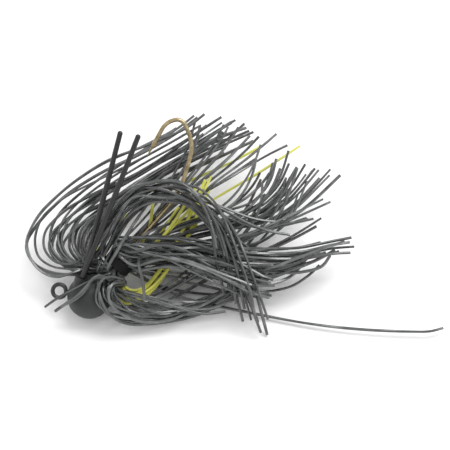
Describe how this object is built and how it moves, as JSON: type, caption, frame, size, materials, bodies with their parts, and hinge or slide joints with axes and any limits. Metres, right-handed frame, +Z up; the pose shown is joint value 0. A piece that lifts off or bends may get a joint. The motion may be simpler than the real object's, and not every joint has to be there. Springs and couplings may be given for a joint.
{
  "type": "jig head",
  "caption": "Skirted weedless jig lying on its side: round lead head with an angled line tie, single hook, V-shaped weed guard and a rubber-strand skirt tied behind the head.",
  "frame": {"origin": "middle of the bounding box, on the surface the jig lies on", "axes": "+Z up from the surface; +X from the line tie towards the ends of the skirt; +Y towards the hook's bend"},
  "size_m": [0.1178, 0.064, 0.044],
  "materials": {
    "head_paint": "matte charcoal powder paint",
    "hook_bronze": "bronzed wire, satin",
    "guard_plastic": "satin dark plastic",
    "collar_rubber": "matte black rubber",
    "strand_grey": "satin cut rubber",
    "strand_yellow": "satin cut rubber"
  },
  "bodies": {
    "jig": {"lead_head": "head_paint", "hook": "hook_bronze", "guard_stem": "guard_plastic", "skirt_collar": "collar_rubber", "skirt_strand_01": "strand_grey", "skirt_strand_02": "strand_grey", "skirt_strand_03": "strand_grey", "skirt_strand_04": "strand_grey", "skirt_strand_05": "strand_grey", "skirt_strand_06": "strand_grey", "skirt_strand_07": "strand_grey", "skirt_strand_08": "strand_grey", "skirt_strand_09": "strand_grey", "skirt_strand_10": "strand_grey", "skirt_strand_11": "strand_grey", "skirt_strand_12": "strand_grey", "skirt_strand_13": "strand_grey", "skirt_strand_14": "strand_grey", "skirt_strand_15": "strand_grey", "skirt_strand_16": "strand_grey", "skirt_strand_17": "strand_grey", "skirt_strand_18": "strand_grey", "skirt_strand_19": "strand_grey", "skirt_strand_20": "strand_grey", "skirt_strand_21": "strand_grey", "skirt_strand_22": "strand_grey", "skirt_strand_23": "strand_grey", "skirt_strand_24": "strand_grey", "skirt_strand_25": "strand_grey", "skirt_strand_26": "strand_grey", "skirt_strand_27": "strand_yellow", "skirt_strand_28": "strand_grey", "skirt_strand_29": "strand_grey", "skirt_strand_30": "strand_grey", "skirt_strand_31": "strand_grey", "skirt_strand_32": "strand_grey", "skirt_strand_33": "strand_grey", "skirt_strand_34": "strand_grey", "skirt_strand_35": "strand_grey"},
    "guard_rod_near": {"guard_rod_near": "guard_plastic"},
    "guard_rod_far": {"guard_rod_far": "guard_plastic"}
  },
  "joints": [
    {"name": "guard_near_flex", "type": "hinge", "parent": "jig", "child": "guard_rod_near", "pos_m": [-0.04202, -0.01946, 0.01268], "axis": [0, 0.5, -0.866], "range_deg": [-5, 20], "stiffness_Nm_per_rad": 0.02},
    {"name": "guard_far_flex", "type": "hinge", "parent": "jig", "child": "guard_rod_far", "pos_m": [-0.04185, -0.01817, 0.01144], "axis": [0, 0.5, -0.866], "range_deg": [-5, 20], "stiffness_Nm_per_rad": 0.02}
  ],
  "couplings": [
    {"joint": "guard_far_flex", "follows": "guard_near_flex", "ratio": 1}
  ]
}
